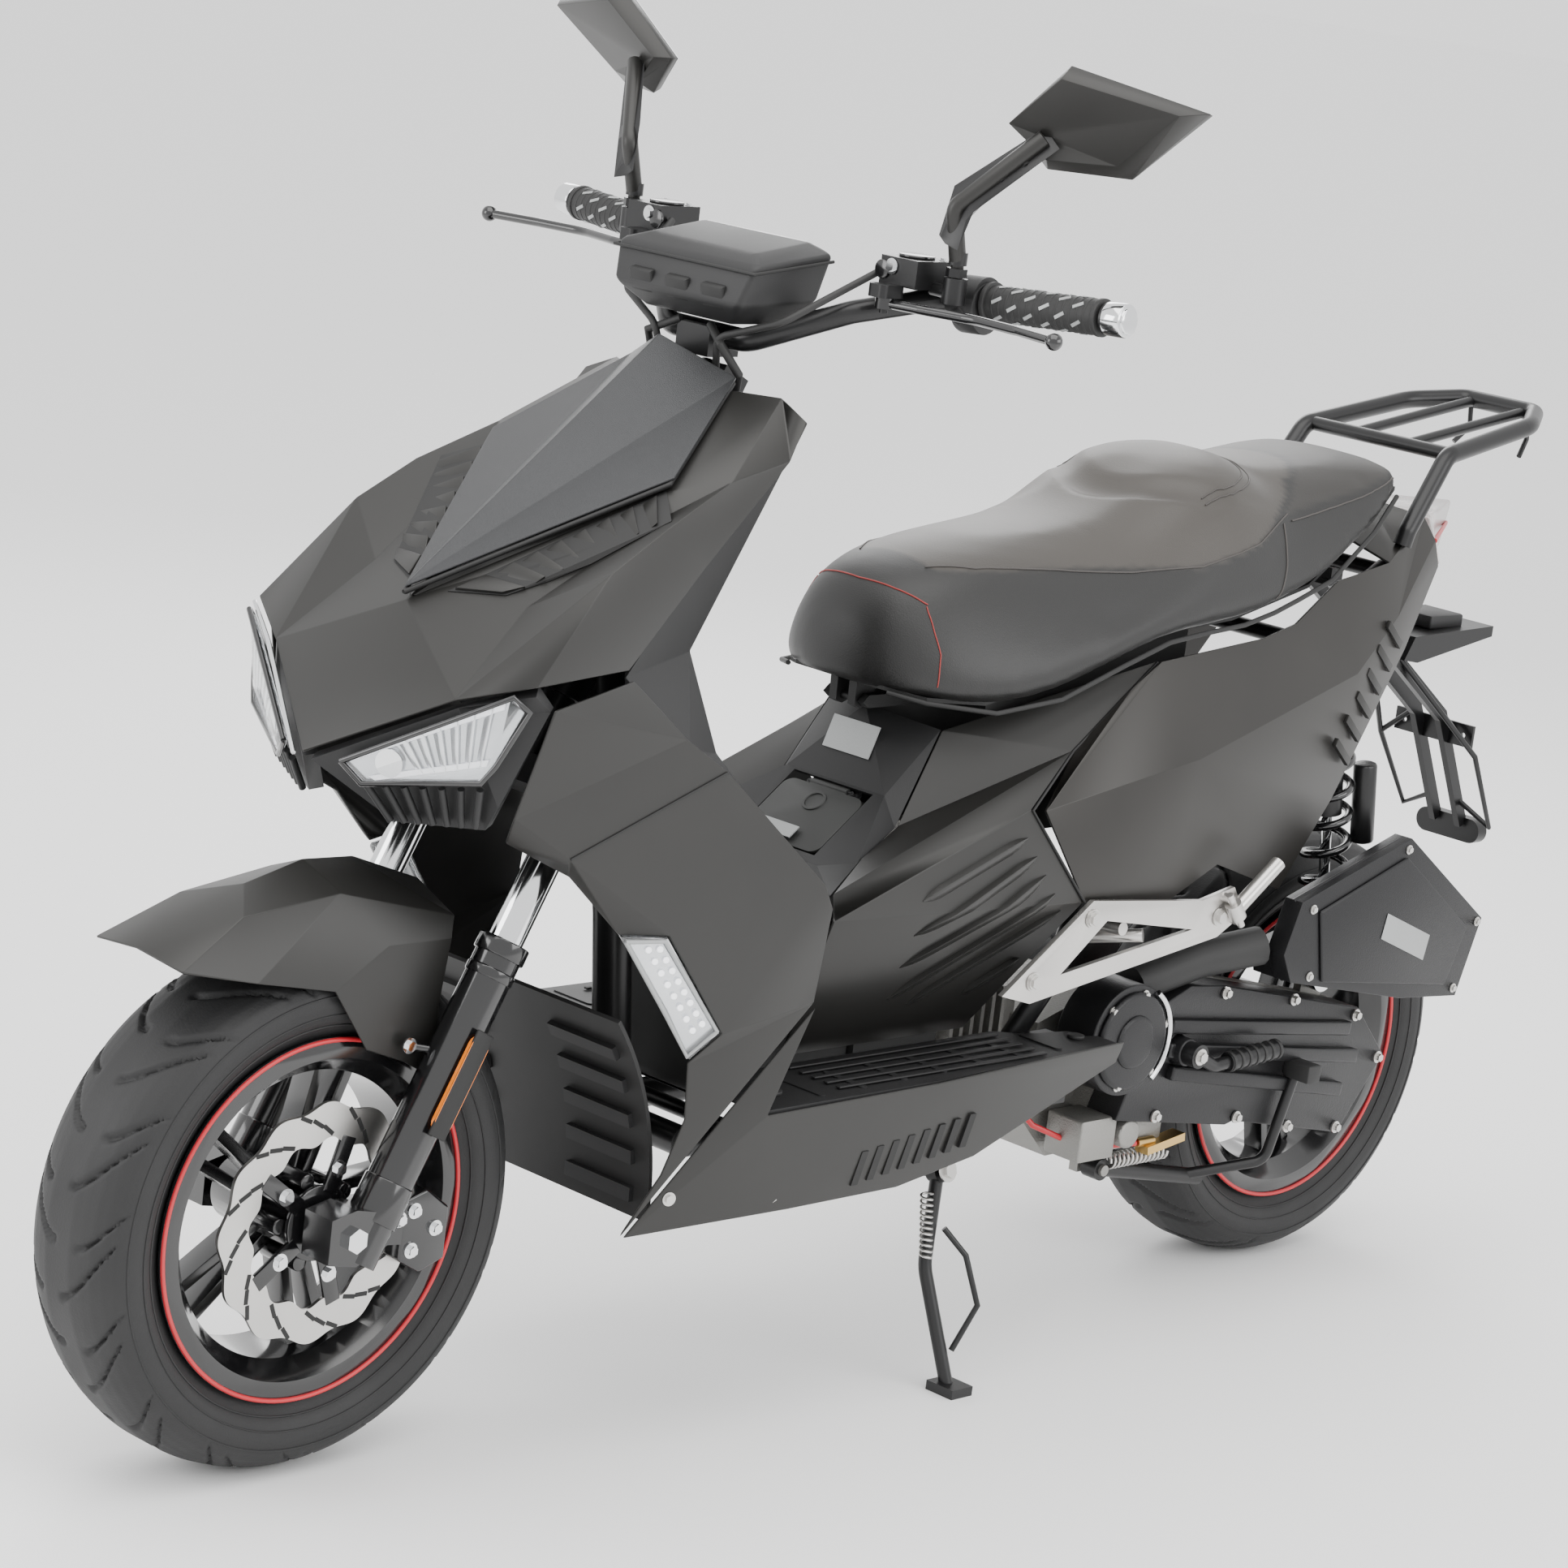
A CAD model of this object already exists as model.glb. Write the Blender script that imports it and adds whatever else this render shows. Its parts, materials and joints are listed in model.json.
import json
import math

import bmesh
import bpy
from mathutils import Matrix, Vector
from mathutils.bvhtree import BVHTree

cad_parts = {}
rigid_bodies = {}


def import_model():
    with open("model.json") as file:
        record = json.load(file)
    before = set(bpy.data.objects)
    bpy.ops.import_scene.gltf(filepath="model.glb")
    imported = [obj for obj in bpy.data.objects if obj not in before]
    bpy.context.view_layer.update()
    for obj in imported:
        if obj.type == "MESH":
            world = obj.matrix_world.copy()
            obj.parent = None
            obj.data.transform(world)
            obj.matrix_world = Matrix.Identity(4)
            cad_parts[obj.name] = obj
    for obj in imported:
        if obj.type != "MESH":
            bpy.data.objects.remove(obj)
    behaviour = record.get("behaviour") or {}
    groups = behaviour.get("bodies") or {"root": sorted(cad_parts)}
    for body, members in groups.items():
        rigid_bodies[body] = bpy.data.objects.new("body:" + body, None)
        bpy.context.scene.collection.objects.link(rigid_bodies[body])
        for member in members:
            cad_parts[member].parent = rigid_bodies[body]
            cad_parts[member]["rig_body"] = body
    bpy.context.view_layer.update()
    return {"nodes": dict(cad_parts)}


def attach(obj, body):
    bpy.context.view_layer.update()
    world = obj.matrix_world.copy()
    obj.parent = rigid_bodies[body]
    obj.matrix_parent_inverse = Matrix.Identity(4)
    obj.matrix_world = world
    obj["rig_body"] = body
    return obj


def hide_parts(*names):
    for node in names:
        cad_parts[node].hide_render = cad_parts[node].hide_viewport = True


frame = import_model()
NODES = frame["nodes"]
FRONT_AXLE = (-741, 243)  # y and z of the axles, mm
REAR_AXLE = (671, 243)
STRIPE_R = 169.5
TURN = 2 * math.pi
SIDES = ((1, "l"), (-1, "r"))


def V(x, y, z):
    """A point given in millimetres."""
    return Vector((x, y, z)) / 1000.0


# ------------------------------------------------------------------ materials
def material(name, color, rough=0.5, metal=0.0, **more):
    """Principled surface with fine grain, slow mottling and dust in the roughness."""
    m = bpy.data.materials.new(name)
    m.use_nodes = True
    nt = m.node_tree
    b = nt.nodes["Principled BSDF"]
    b.inputs["Base Color"].default_value = (*color, 1)
    b.inputs["Metallic"].default_value = metal
    b.inputs["Roughness"].default_value = rough
    b.inputs["Coat Weight"].default_value = more.get("coat", 0.0)
    b.inputs["Coat Roughness"].default_value = more.get("coat_rough", 0.15)
    b.inputs["Specular IOR Level"].default_value = more.get("spec", 0.5)
    coord = nt.nodes.new("ShaderNodeTexCoord")

    def noise(scale, detail):
        n = nt.nodes.new("ShaderNodeTexNoise")
        n.inputs["Scale"].default_value = scale
        n.inputs["Detail"].default_value = detail
        nt.links.new(coord.outputs["Object"], n.inputs["Vector"])
        return n

    def spread(src, low, high):
        r = nt.nodes.new("ShaderNodeMapRange")
        r.inputs["To Min"].default_value = low
        r.inputs["To Max"].default_value = high
        nt.links.new(src, r.inputs["Value"])
        return r.outputs["Result"]

    slow = noise(more.get("mottle_scale", 9.0), 4.0)
    swing = more.get("swing", 0.06)
    nt.links.new(spread(slow.outputs["Fac"], max(0.02, rough - swing), min(1, rough + swing)),
                 b.inputs["Roughness"])
    ramp = nt.nodes.new("ShaderNodeMix")
    ramp.data_type = "RGBA"
    deep = more.get("deep", 0.86)
    ramp.inputs[6].default_value = (*[c * deep for c in color], 1)
    ramp.inputs[7].default_value = (*[min(1, c * (2 - deep)) for c in color], 1)
    nt.links.new(slow.outputs["Fac"], ramp.inputs[0])
    nt.links.new(ramp.outputs[2], b.inputs["Base Color"])
    grain = noise(more.get("grain_scale", 900.0), 2.0)
    bump = nt.nodes.new("ShaderNodeBump")
    bump.inputs["Strength"].default_value = more.get("grain", 0.08)
    bump.inputs["Distance"].default_value = more.get("depth", 0.0004)
    nt.links.new(grain.outputs["Fac"], bump.inputs["Height"])
    nt.links.new(bump.outputs["Normal"], b.inputs["Normal"])
    if more.get("glass"):
        b.inputs["Transmission Weight"].default_value = more["glass"]
        b.inputs["IOR"].default_value = 1.45
    if more.get("glow"):
        b.inputs["Emission Color"].default_value = (*color, 1)
        b.inputs["Emission Strength"].default_value = more["glow"]
    return m


FAIRING = material("fairing_satin", (0.0185, 0.0180, 0.0168), 0.40, 0.25, grain=0.10, coat=0.05,
                   coat_rough=0.4, swing=0.04)
SATIN_TAIL = material("tail_satin", (0.027, 0.0255, 0.0235), 0.36, 0.4, grain=0.08, swing=0.04)
CREST = material("crest_grain", (0.040, 0.041, 0.043), 0.31, 0.6, grain=0.55, grain_scale=1600,
                 depth=0.0006)
TRIM = material("trim_plastic", (0.0105, 0.0105, 0.011), 0.55, grain=0.35, grain_scale=1300)
DEEP = material("deep_plastic", (0.007, 0.007, 0.007), 0.6, grain=0.2)
DOOR = material("door_plastic", (0.026, 0.027, 0.026), 0.5, grain=0.3)
GLOSS = material("gloss_black", (0.006, 0.006, 0.0065), 0.16, 0.0, grain=0.02, coat=0.6, swing=0.05)
FRAME = material("frame_black", (0.009, 0.009, 0.0095), 0.34, 0.2, grain=0.12)
CAST = material("cast_black", (0.011, 0.011, 0.012), 0.38, 0.3, grain=0.4, grain_scale=700,
                depth=0.0008)
TYRE = material("tyre_rubber", (0.0105, 0.0105, 0.011), 0.62, grain=0.35, grain_scale=420,
                depth=0.0007, mottle_scale=22, swing=0.1)
RUBBER = material("soft_rubber", (0.014, 0.014, 0.014), 0.6, grain=0.3)
CHROME = material("chrome", (0.78, 0.79, 0.8), 0.09, 1.0, grain=0.02, swing=0.04, deep=0.95)
STEEL = material("brushed_steel", (0.60, 0.59, 0.57), 0.30, 1.0, grain=0.25, grain_scale=1500,
                 swing=0.08)
ALLOY = material("peg_alloy", (0.60, 0.585, 0.565), 0.30, 0.9, grain=0.15, swing=0.08)
CASTING = material("engine_casting", (0.30, 0.295, 0.28), 0.5, 0.8, grain=0.6, grain_scale=500,
                   depth=0.001)
BRASS = material("brass", (0.62, 0.42, 0.16), 0.32, 1.0, grain=0.1)
RED = material("red_paint", (0.55, 0.020, 0.030), 0.35, grain=0.05)
AMBER = material("amber_lens", (0.85, 0.22, 0.015), 0.22, grain=0.1, coat=0.8, glow=0.05)
CLEAR = material("clear_lens", (0.90, 0.92, 0.94), 0.05, glass=0.92, grain=0.02, swing=0.02)
SMOKED = material("tail_lens", (0.78, 0.74, 0.73), 0.15, glass=0.5, grain=0.05)
LAMP = material("lamp_reflector", (0.82, 0.84, 0.86), 0.14, 0.9, grain=0.1, swing=0.08)
LED = material("led_white", (0.95, 0.96, 1.0), 0.3, glow=0.9, grain=0.0)
VINYL = material("seat_vinyl", (0.047, 0.042, 0.037), 0.46, grain=0.35, grain_scale=700,
                 depth=0.0006, mottle_scale=6)
THREAD = material("seam_thread", (0.30, 0.035, 0.03), 0.6, grain=0.3)
THREAD_DARK = material("seam_dark", (0.05, 0.045, 0.042), 0.6, grain=0.3)
PLATE = material("plain_label", (0.36, 0.37, 0.37), 0.45, 0.3, grain=0.5, grain_scale=350)
GLASS = material("mirror_glass", (0.85, 0.87, 0.9), 0.03, 1.0, grain=0.0, swing=0.01)


# ------------------------------------------------------------------ building blocks
def piece(name, mesh, mat, body, smooth=True):
    """A new object from mesh data, riding on a CAD body."""
    obj = bpy.data.objects.new(name, mesh)
    bpy.context.scene.collection.objects.link(obj)
    mesh.materials.clear()
    mesh.materials.append(mat)
    if smooth:
        mesh.shade_smooth()
        mesh.set_sharp_from_angle(angle=math.radians(38))
    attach(obj, body)
    return obj


def from_bmesh(name, bm, mat, body, smooth=True):
    bmesh.ops.recalc_face_normals(bm, faces=bm.faces)
    mesh = bpy.data.meshes.new(name)
    bm.to_mesh(mesh)
    bm.free()
    return piece(name, mesh, mat, body, smooth)


def bake(obj):
    """Apply the modifiers of an object."""
    bpy.context.view_layer.update()
    dg = bpy.context.evaluated_depsgraph_get()
    mesh = bpy.data.meshes.new_from_object(obj.evaluated_get(dg))
    obj.modifiers.clear()
    obj.data = mesh
    return obj


def soften(node, mat, width=3.0, segments=3, name=None, angle=12):
    """A soft-edged twin of a CAD piece, shown in its place."""
    src = NODES[node]
    bm = bmesh.new()
    bm.from_mesh(src.data)
    bmesh.ops.remove_doubles(bm, verts=bm.verts, dist=0.00002)
    bmesh.ops.dissolve_limit(bm, angle_limit=math.radians(1.5), verts=bm.verts, edges=bm.edges)
    obj = from_bmesh(name or "soft_" + node, bm, mat, src["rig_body"])
    bev = obj.modifiers.new("b", "BEVEL")
    bev.width = width / 1000
    bev.segments = segments
    bev.limit_method = "ANGLE"
    bev.angle_limit = math.radians(angle)
    bev.use_clamp_overlap = True
    bev.harden_normals = False
    bake(obj)
    obj.data.shade_smooth()
    obj.data.set_sharp_from_angle(angle=math.radians(50))
    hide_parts(node)
    return obj


def tube(name, points, radius, mat, body, closed=False):
    """Round rod through points in millimetres, with softened bends."""
    curve = bpy.data.curves.new(name, "CURVE")
    curve.dimensions = "3D"
    curve.bevel_depth = radius / 1000
    curve.bevel_resolution = 4
    curve.use_fill_caps = True
    line = curve.splines.new("POLY")
    pts = [V(*p) for p in points]
    line.points.add(len(pts) - 1)
    for q, p in zip(line.points, pts):
        q.co = (*p, 1)
    line.use_cyclic_u = closed
    temp = bpy.data.objects.new(name + "_c", curve)
    bpy.context.scene.collection.objects.link(temp)
    bpy.context.view_layer.update()
    mesh = bpy.data.meshes.new_from_object(temp.evaluated_get(
        bpy.context.evaluated_depsgraph_get()))
    bpy.data.objects.remove(temp)
    return piece(name, mesh, mat, body)


def prism(bm, base, top):
    """Adds a closed solid between two loops of points in metres."""
    lower = [bm.verts.new(p) for p in base]
    upper = [bm.verts.new(p) for p in top]
    n = len(lower)
    bm.faces.new(lower[::-1])
    bm.faces.new(upper)
    for i in range(n):
        bm.faces.new((lower[i], lower[(i + 1) % n], upper[(i + 1) % n], upper[i]))


def slab(bm, outline, normal, thick):
    """Adds a flat plate: outline in metres, thickness along a normal."""
    push = Vector(normal).normalized() * thick
    prism(bm, outline, [p + push for p in outline])


def bevelled(obj, width, segments=2, angle=30):
    bev = obj.modifiers.new("b", "BEVEL")
    bev.width = width / 1000
    bev.segments = segments
    bev.limit_method = "ANGLE"
    bev.angle_limit = math.radians(angle)
    bake(obj)
    obj.data.shade_smooth()
    obj.data.set_sharp_from_angle(angle=math.radians(45))
    return obj


def cyl(bm, centre, axis, radius, length, sides=32, taper=1.0):
    """Adds a cylinder centred on a point in millimetres."""
    axis = Vector(axis).normalized()
    turn = axis.to_track_quat("Z", "Y").to_matrix().to_4x4()
    bmesh.ops.create_cone(bm, cap_ends=True, segments=sides, radius1=radius / 1000,
                          radius2=radius * taper / 1000, depth=length / 1000,
                          matrix=Matrix.Translation(V(*centre)) @ turn)


def block(bm, centre, size, turn=None):
    """Adds a box centred on a point in millimetres."""
    m = Matrix.Translation(V(*centre))
    if turn is not None:
        m = m @ turn.to_4x4()
    bmesh.ops.create_cube(bm, size=1.0, matrix=m @ Matrix.Diagonal((*V(*size), 1)))


def bolt(bm, centre, axis, radius=5.0, height=4.0):
    """Adds a hexagon head with a washer."""
    cyl(bm, centre, axis, radius * 1.5, height * 0.4, 24)
    top = Vector(centre) + Vector(axis).normalized() * height * 0.6
    cyl(bm, top, axis, radius, height, 6)


def on_wheel(axle, x, radius, angle):
    """A point at a radius and an angle round an axle, in millimetres."""
    return x, axle[0] + radius * math.cos(angle), axle[1] + radius * math.sin(angle)


def lerp(a, b, t):
    return [a[i] + (b[i] - a[i]) * t for i in range(3)]


def skin(node):
    """A search tree over one CAD piece's faces."""
    src = NODES[node]
    return BVHTree.FromPolygons([v.co.copy() for v in src.data.vertices],
                                [tuple(p.vertices) for p in src.data.polygons])


def dropped(tree, point, push, lift=0.0):
    """A point (mm) moved along push onto a skin, then lifted back off it; metres."""
    push = Vector(push).normalized()
    hit = tree.ray_cast(V(*point) - push * 0.15, push, 0.4)[0]
    return (hit if hit is not None else V(*point)) - push * (lift / 1000)


def quad_at(a, b, c, d, u, v):
    """A point in the four-cornered field a-b-c-d, u along a-b and v from a-b to d-c."""
    return lerp(lerp(a, b, u), lerp(d, c, u), v)


# ------------------------------------------------------------------ fairings
for node, mat, width in (
    ("front_cowl", FAIRING, 5.0), ("leg_shields", FAIRING, 3.0), ("side_skirts", FAIRING, 3.0),
    ("side_panels", FAIRING, 4.5), ("tail_panels", SATIN_TAIL, 5.0), ("front_fender", FAIRING, 4.0),
    ("v_panel", CREST, 1.2), ("inner_leg_shield", TRIM, 4.0), ("seat_front_panel", TRIM, 2.5),
    ("headlight_housings", TRIM, 3.0), ("dash_housing", TRIM, 5.0), ("mirror_left", FAIRING, 4.0),
    ("mirror_right", FAIRING, 4.0), ("air_box", CAST, 5.0), ("cvt_cover", CAST, 5.0),
    ("tank_door", DOOR, 1.0), ("headlight_lenses", CLEAR, 1.0), ("front_indicators", CLEAR, 1.5),
    ("tail_light", SMOKED, 4.0), ("peg_brackets", ALLOY, 1.5), ("front_caliper", GLOSS, 2.5),
):
    soften(node, mat, width)

PAINT = {
    "main_frame": FRAME, "floorboard": TRIM, "arch_liner": DEEP, "storage_bucket": DEEP,
    "fuel_tank": DEEP, "battery": DEEP, "luggage_rack": FRAME, "plate_bracket": FRAME,
    "shock_body": FRAME, "shock_rod": CHROME, "shock_spring": GLOSS, "steering_stem": FRAME,
    "handlebar": FRAME, "switch_housings": TRIM, "master_cylinders": FRAME, "grip_left": RUBBER,
    "throttle_grip": RUBBER, "control_hoses": RUBBER, "fork_stanchions": CHROME,
    "fork_lowers": GLOSS, "fork_reflectors": AMBER, "front_disc": STEEL, "crankcase": CASTING,
    "exhaust": FRAME, "side_stand": FRAME, "centre_stand": FRAME, "kick_starter": FRAME,
    "seat_base": DEEP, "brake_lever_left": GLOSS, "brake_lever_right": GLOSS,
    "passenger_peg_left": ALLOY, "passenger_peg_right": ALLOY, "ignition_lock": STEEL,
    "starter_button": RED, "front_tyre": TYRE, "rear_tyre": TYRE, "front_rim": GLOSS,
    "rear_rim": GLOSS, "seat_cushion": VINYL,
}
for node, mat in PAINT.items():
    mesh = NODES[node].data
    mesh.materials.clear()
    mesh.materials.append(mat)
    mesh.shade_smooth()
    mesh.set_sharp_from_angle(angle=math.radians(35))

# ------------------------------------------------------------------ nose details
def slats(name, a, b, c, d, count, body, mat, proud=5.0, fill=0.62):
    """A row of raised slats in the four-cornered field a-b-c-d (mm), side by side along a-b."""
    bm = bmesh.new()
    across_n = (Vector(b) - Vector(a)).cross(Vector(d) - Vector(a)).normalized()
    if across_n.dot(Vector(a) - Vector((0, -300, 600))) < 0:
        across_n.negate()
    for i in range(count):
        u0 = (i + 0.5 - fill / 2) / count
        u1 = (i + 0.5 + fill / 2) / count
        loop = [quad_at(a, b, c, d, u0, 0), quad_at(a, b, c, d, u1, 0),
                quad_at(a, b, c, d, u1, 1), quad_at(a, b, c, d, u0, 1)]
        base = [V(*p) - across_n * 0.001 for p in loop]
        tip = [V(*p) + across_n * (proud / 1000) * (0.25 if k in (0, 3) else 1.0)
               for k, p in enumerate(loop)]
        prism(bm, base, tip)
    return bevelled(from_bmesh(name, bm, mat, body), 1.0)


def plate_on(name, outline, lift, thick, mat, body, inside, bevel=0.8):
    """A thin plate lying on an outline (mm), lifted off along its own normal."""
    pts = [V(*p) for p in outline]
    n = Vector()
    for i in range(1, len(pts) - 1):
        n += (pts[i] - pts[0]).cross(pts[i + 1] - pts[0])
    n.normalize()
    if n.dot(pts[0] - V(*inside)) < 0:
        n.negate()
    bm = bmesh.new()
    slab(bm, [p + n * (lift / 1000) for p in pts], n, thick / 1000)
    return bevelled(from_bmesh(name, bm, mat, body), bevel)


cowl = skin("front_cowl")
for side, tag in SIDES:
    inward = (-side * 0.45, 0.55, -0.70)
    tip, corner = (side * 20, -640, 812), (side * 114, -466, 919)
    low, high = (side * 82, -611, 815), (side * 158, -497, 897)

    def field(u, v, lift):
        return dropped(cowl, quad_at(tip, corner, high, low, u, v), inward, lift)

    bm = bmesh.new()
    edge = [(0.0, 0.12), (0.25, 0.12), (0.5, 0.12), (0.75, 0.12), (1.0, 0.12), (1.0, 1.0),
            (0.75, 1.0), (0.5, 1.0), (0.25, 1.0), (0.02, 0.9)]
    prism(bm, [field(u, v, -1.0) for u, v in edge], [field(u, v, 0.9) for u, v in edge])
    from_bmesh("louvre_bed_" + tag, bm, DEEP, "chassis")
    bm = bmesh.new()
    for k in range(7):
        u = 0.20 + 0.112 * k
        loop = [(u, 0.20), (u + 0.080, 0.20), (u + 0.045, 0.93), (u - 0.035, 0.93)]
        prism(bm, [field(a, b, -0.5) for a, b in loop],
              [field(a, b, h) for (a, b), h in zip(loop, (1.5, 7.0, 7.0, 1.5))])
    bevelled(from_bmesh("louvres_" + tag, bm, FAIRING, "chassis"), 0.9)
    bm = bmesh.new()
    loop = [(0.02, 0.16), (0.16, 0.16), (0.125, 0.93), (0.03, 0.82)]
    prism(bm, [field(a, b, -0.5) for a, b in loop], [field(a, b, 4.0) for a, b in loop])
    bevelled(from_bmesh("louvre_blank_" + tag, bm, FAIRING, "chassis"), 1.0)
groove_pts = [(0, -663, 806), (122, -469, 922), (69, -351, 1004)]
for side in (1, -1):
    tube("crest_groove_" + str(side), [(side * x, y, z) for x, y, z in groove_pts], 2.6, DEEP,
         "chassis")

# headlights: reflector shell, slanted vanes, projector, light bars
LENS = [(40, -750, 668), (180, -686, 749), (184, -675, 738), (167, -687, 688), (157, -692, 673),
        (60, -738, 652)]
for side, tag in SIDES:
    lens = [(side * x, y, z) for x, y, z in LENS]
    plate_on("lamp_bowl_" + tag, lens, -3.2, 1.0, LAMP, "chassis", (side * 90, -600, 690), 0.3)
    a, b = lens[0], lens[1]
    c, d = lens[3], lens[5]
    slats("lamp_vanes_" + tag, lerp(a, b, 0.30), lerp(a, b, 0.93), lerp(d, c, 0.93),
          lerp(d, c, 0.40), 6, "chassis", LAMP, 2.2, 0.55)
    plate_on("lamp_bar_" + tag, [lerp(a, b, 0.05), lerp(a, b, 0.97), lerp(lerp(a, b, 0.97), c, 0.12),
                                 lerp(lerp(a, b, 0.05), d, 0.16)], 0.6, 1.2, LED, "chassis",
             (side * 90, -600, 690), 0.3)
    plate_on("lamp_strip_" + tag, [lerp(d, c, 0.08), lerp(d, c, 0.95),
                                   lerp(lerp(d, c, 0.95), b, 0.10), lerp(lerp(d, c, 0.08), a, 0.2)],
             0.8, 1.0, LED, "chassis", (side * 90, -600, 690), 0.3)
    bm = bmesh.new()
    eye = lerp(lerp(a, b, 0.24), lerp(d, c, 0.24), 0.55)
    face = (Vector(b) - Vector(a)).cross(Vector(d) - Vector(a)).normalized() * side
    cyl(bm, Vector(eye) - face * 1.0, face, 13, 4, 32, 0.8)
    from_bmesh("lamp_eye_" + tag, bm, CHROME, "chassis")
    # surround rim and grille ribs
    ring_pts = [(40, -752, 666), (184, -687, 752), (190, -672, 739), (169, -686, 687),
                (159, -692, 670), (58, -741, 649), (40, -752, 666)]
    tube("lamp_rim_" + tag, [(side * x, y, z) for x, y, z in ring_pts], 2.8, GLOSS, "chassis")
    for k in range(7):
        t = k / 6
        top = lerp((52, -728, 646), (152, -684, 662), t)
        bot = lerp((62, -704, 614), (138, -672, 624), t)
        tube("grille_rib_%s_%d" % (tag, k), [(side * top[0], top[1] - 2, top[2]),
                                             (side * bot[0], bot[1] - 2, bot[2])],
             3.4, TRIM, "chassis")
tube("nose_trim", [(-6, -768, 664), (-126, -708, 734), (-192, -675, 757)], 2.2, CHROME, "chassis")

# front indicators: dotted inner strip and border
for side, tag in SIDES:
    ind = [(side * x, y, z) for x, y, z in ((179, -514, 515), (194, -479, 516), (203, -408, 426),
                                            (189, -429, 400), (185, -459, 443))]
    plate_on("indicator_core_" + tag, ind, -4.0, 1.0, LAMP, "chassis", (0, -420, 470), 0.2)
    bm = bmesh.new()
    for k in range(8):
        p = lerp(lerp(ind[0], ind[1], 0.45), lerp(ind[3], ind[2], 0.45), (k + 0.7) / 9)
        q = lerp(lerp(ind[0], ind[1], 0.75), lerp(ind[3], ind[2], 0.75), (k + 0.7) / 9)
        for r in (p, q):
            cyl(bm, (r[0] + side * 0.3, r[1], r[2]), (side, -0.4, 0.1), 3.0, 2.0, 12)
    from_bmesh("indicator_leds_" + tag, bm, LED, "chassis")
    tube("indicator_rim_" + tag, ind + [ind[0]], 2.4, PLATE, "chassis")

# ------------------------------------------------------------------ body side details
flank_skin = skin("side_panels")


def side_ribs(side, tag):
    """Six raised ribs that follow the panel's folds, thin at both ends."""
    bm = bmesh.new()
    for k in range(6):
        ends = ((-114 + 9 * k, 515 - 39 * k), (24 + 17.5 * k, 568 - 20.5 * k))
        if k == 4:
            ends = ((-53, 388), ends[1])
        if k == 5:
            ends = ((23, 393), (77, 430))
        run = Vector((0, ends[1][0] - ends[0][0], ends[1][1] - ends[0][1])).normalized()
        rise = Vector((0, -run.z, run.y))
        last = None
        for n in range(13):
            t = n / 12
            size = max(0.12, min(1.0, t * 9, (1 - t) * 9))
            at = Vector((side * 200, ends[0][0] + (ends[1][0] - ends[0][0]) * t,
                         ends[0][1] + (ends[1][1] - ends[0][1]) * t))
            row = []
            for up_mm, lift in ((-8.5, -1.0), (-7.5, 0.4), (2.0, 5.6), (5.0, 5.6), (7.0, 0.3),
                                (7.4, -1.0)):
                p = at + rise * up_mm * size
                row.append(bm.verts.new(dropped(flank_skin, p, (-side, 0, 0),
                                                lift * size if lift > 0 else lift)))
            if last:
                for m in range(6):
                    bm.faces.new((last[m], last[(m + 1) % 6], row[(m + 1) % 6], row[m]))
            else:
                bm.faces.new(row)
            last = row
        bm.faces.new(last[::-1])
    from_bmesh("side_ribs_" + tag, bm, FAIRING, "chassis")


def skirt_vents(side, tag):
    """Eight slanted slots in the skirt."""
    bm = bmesh.new()
    for k in range(8):
        base = Vector((198.5 - 0.02 * (k * 22), -196 + 22 * k, 262 + 2.5 * k))
        loop = [base + Vector((-0.9, 0, -16)), base + Vector((-0.9, 9, -16)),
                base + Vector((1.6, 17, 18)), base + Vector((1.6, 8, 18))]
        loop = [Vector((side * p.x, p.y, p.z)) / 1000 for p in loop]
        push = Vector((side * 0.0022, 0, 0))
        prism(bm, [p - push for p in loop], [p + push * 1.2 for p in loop])
    from_bmesh("skirt_vents_" + tag, bm, DEEP, "chassis")


def tail_vents(side, tag):
    """Six slanted slats on the dark lower side of the tail."""
    bm = bmesh.new()
    for k in range(6):
        p = Vector((146 - 3.5 * k, 560 + 17 * k, 598 + 24 * k))
        q = p + Vector((5, -34, 26))
        loop = [p, p + Vector((0, 4, 8)), q + Vector((0, 4, 8)), q]
        loop = [Vector((side * (r.x + 1), r.y, r.z)) / 1000 for r in loop]
        push = Vector((side * 0.003, 0, 0))
        prism(bm, [r - push for r in loop], [r + push for r in loop])
    bevelled(from_bmesh("tail_vents_" + tag, bm, FAIRING, "chassis"), 1.0)


def panel_seams(side, tag):
    """Dark lines between panels, and the bolts of the peg bracket."""
    tube("seam_side_" + tag, [(side * x, y, z) for x, y, z in (
        (141, 228, 727), (151, 104, 645), (177, 24.5, 596), (177, 122, 494))], 1.6, DEEP, "chassis")
    tube("seam_shield_" + tag, [(side * x, y, z) for x, y, z in (
        (197, -426, 671), (178.5, -593, 598))], 1.1, DEEP, "chassis")
    bm = bmesh.new()
    for y, z in ((49, 421), (127, 479), (330, 462)):
        bolt(bm, (side * 186.5, y, z), (side, 0, 0), 6.5, 5)
    from_bmesh("peg_bolts_" + tag, bm, STEEL, "chassis")


for side, tag in SIDES:
    side_ribs(side, tag)
    skirt_vents(side, tag)
    tail_vents(side, tag)
    panel_seams(side, tag)
# ribs on the arch liner
LINER_R = 308
bm = bmesh.new()
for k in range(5):
    ang = math.radians(2 + 7 * k)
    for side in (1, -1):
        block(bm, (side * 100, -741 + (LINER_R - 2.5) * math.cos(ang),
                   243 + (LINER_R - 2.5) * math.sin(ang)), (90, 6, 14),
              Matrix.Rotation(ang, 3, "X"))
from_bmesh("liner_ribs", bm, TRIM, "chassis")

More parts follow.
